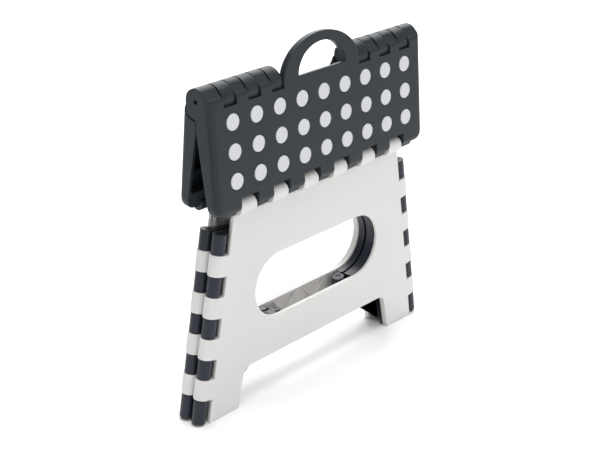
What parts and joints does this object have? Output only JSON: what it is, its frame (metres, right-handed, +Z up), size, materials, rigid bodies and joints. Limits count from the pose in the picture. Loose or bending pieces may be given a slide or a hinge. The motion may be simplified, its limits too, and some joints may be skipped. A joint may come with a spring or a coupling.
{
  "type": "folding step stool",
  "caption": "Plastic folding step stool with a hinged two-part tread, carry handle, anti-slip discs, legs with hand holes and folding corner gussets, stored folded flat.",
  "frame": {"origin": "on the floor, under the middle of the folded stool, midway between the two legs", "axes": "+Z up, +X along the width, to the right of the half with the handle, -Y out of that half's face"},
  "size_m": [0.3278, 0.0492, 0.3442],
  "materials": {
    "dark_plastic": "matte",
    "light_plastic": "satin",
    "grip_rubber": "matte",
    "pin_steel": "brushed"
  },
  "bodies": {
    "front_leg": {"front_leg": "light_plastic", "front_tread_pin": "pin_steel", "left_front_corner_pin": "pin_steel", "right_front_corner_pin": "pin_steel"},
    "front_tread": {"front_tread": "dark_plastic", "front_grip_dots": "grip_rubber", "centre_pin_left": "pin_steel", "centre_pin_right": "pin_steel"},
    "back_tread": {"back_tread": "dark_plastic", "back_grip_dots": "grip_rubber"},
    "back_leg": {"back_leg": "light_plastic", "back_tread_pin": "pin_steel", "left_back_corner_pin": "pin_steel", "right_back_corner_pin": "pin_steel"},
    "left_front_gusset": {"left_front_gusset": "dark_plastic", "left_gusset_lower_pin": "pin_steel", "left_gusset_upper_pin": "pin_steel"},
    "right_front_gusset": {"right_front_gusset": "dark_plastic", "right_gusset_lower_pin": "pin_steel", "right_gusset_upper_pin": "pin_steel"},
    "left_back_gusset": {"left_back_gusset": "dark_plastic"},
    "right_back_gusset": {"right_back_gusset": "dark_plastic"}
  },
  "joints": [
    {"name": "fold", "type": "hinge", "parent": "front_leg", "child": "front_tread", "pos_m": [0, -0.0151, 0.2064], "axis": [-1, 0, 0], "range_deg": [0, 85.03]},
    {"name": "tread_centre", "type": "hinge", "parent": "front_tread", "child": "back_tread", "pos_m": [0, 0, 0.3084], "axis": [1, 0, 0], "range_deg": [0, 170.1]},
    {"name": "back_leg_hinge", "type": "hinge", "parent": "back_tread", "child": "back_leg", "pos_m": [0, 0.0151, 0.2064], "axis": [-1, 0, 0], "range_deg": [0, 85.05]},
    {"name": "left_corner", "type": "hinge", "parent": "front_leg", "child": "left_front_gusset", "pos_m": [-0.1576, -0.008, 0], "axis": [0.1709, 0, 0.9853], "range_deg": [0, 89.35]},
    {"name": "right_corner", "type": "hinge", "parent": "front_leg", "child": "right_front_gusset", "pos_m": [0.1576, -0.008, 0], "axis": [0.1709, 0, -0.9853], "range_deg": [0, 89.35]},
    {"name": "left_gusset_centre", "type": "hinge", "parent": "left_front_gusset", "child": "left_back_gusset", "pos_m": [-0.06327, 0, -0.01637], "axis": [-0.1709, 0, -0.9853], "range_deg": [0, 178.7]},
    {"name": "right_gusset_centre", "type": "hinge", "parent": "right_front_gusset", "child": "right_back_gusset", "pos_m": [0.06327, 0, -0.01637], "axis": [-0.1709, 0, 0.9853], "range_deg": [0, 178.7]}
  ],
  "couplings": [
    {"joint": "tread_centre", "follows": "fold", "ratio": 2},
    {"joint": "back_leg_hinge", "follows": "fold", "ratio": 1},
    {"joint": "left_corner", "follows": "fold", "ratio": 1.0506},
    {"joint": "right_corner", "follows": "fold", "ratio": 1.0506},
    {"joint": "left_gusset_centre", "follows": "fold", "ratio": 2.1012},
    {"joint": "right_gusset_centre", "follows": "fold", "ratio": 2.1012}
  ]
}
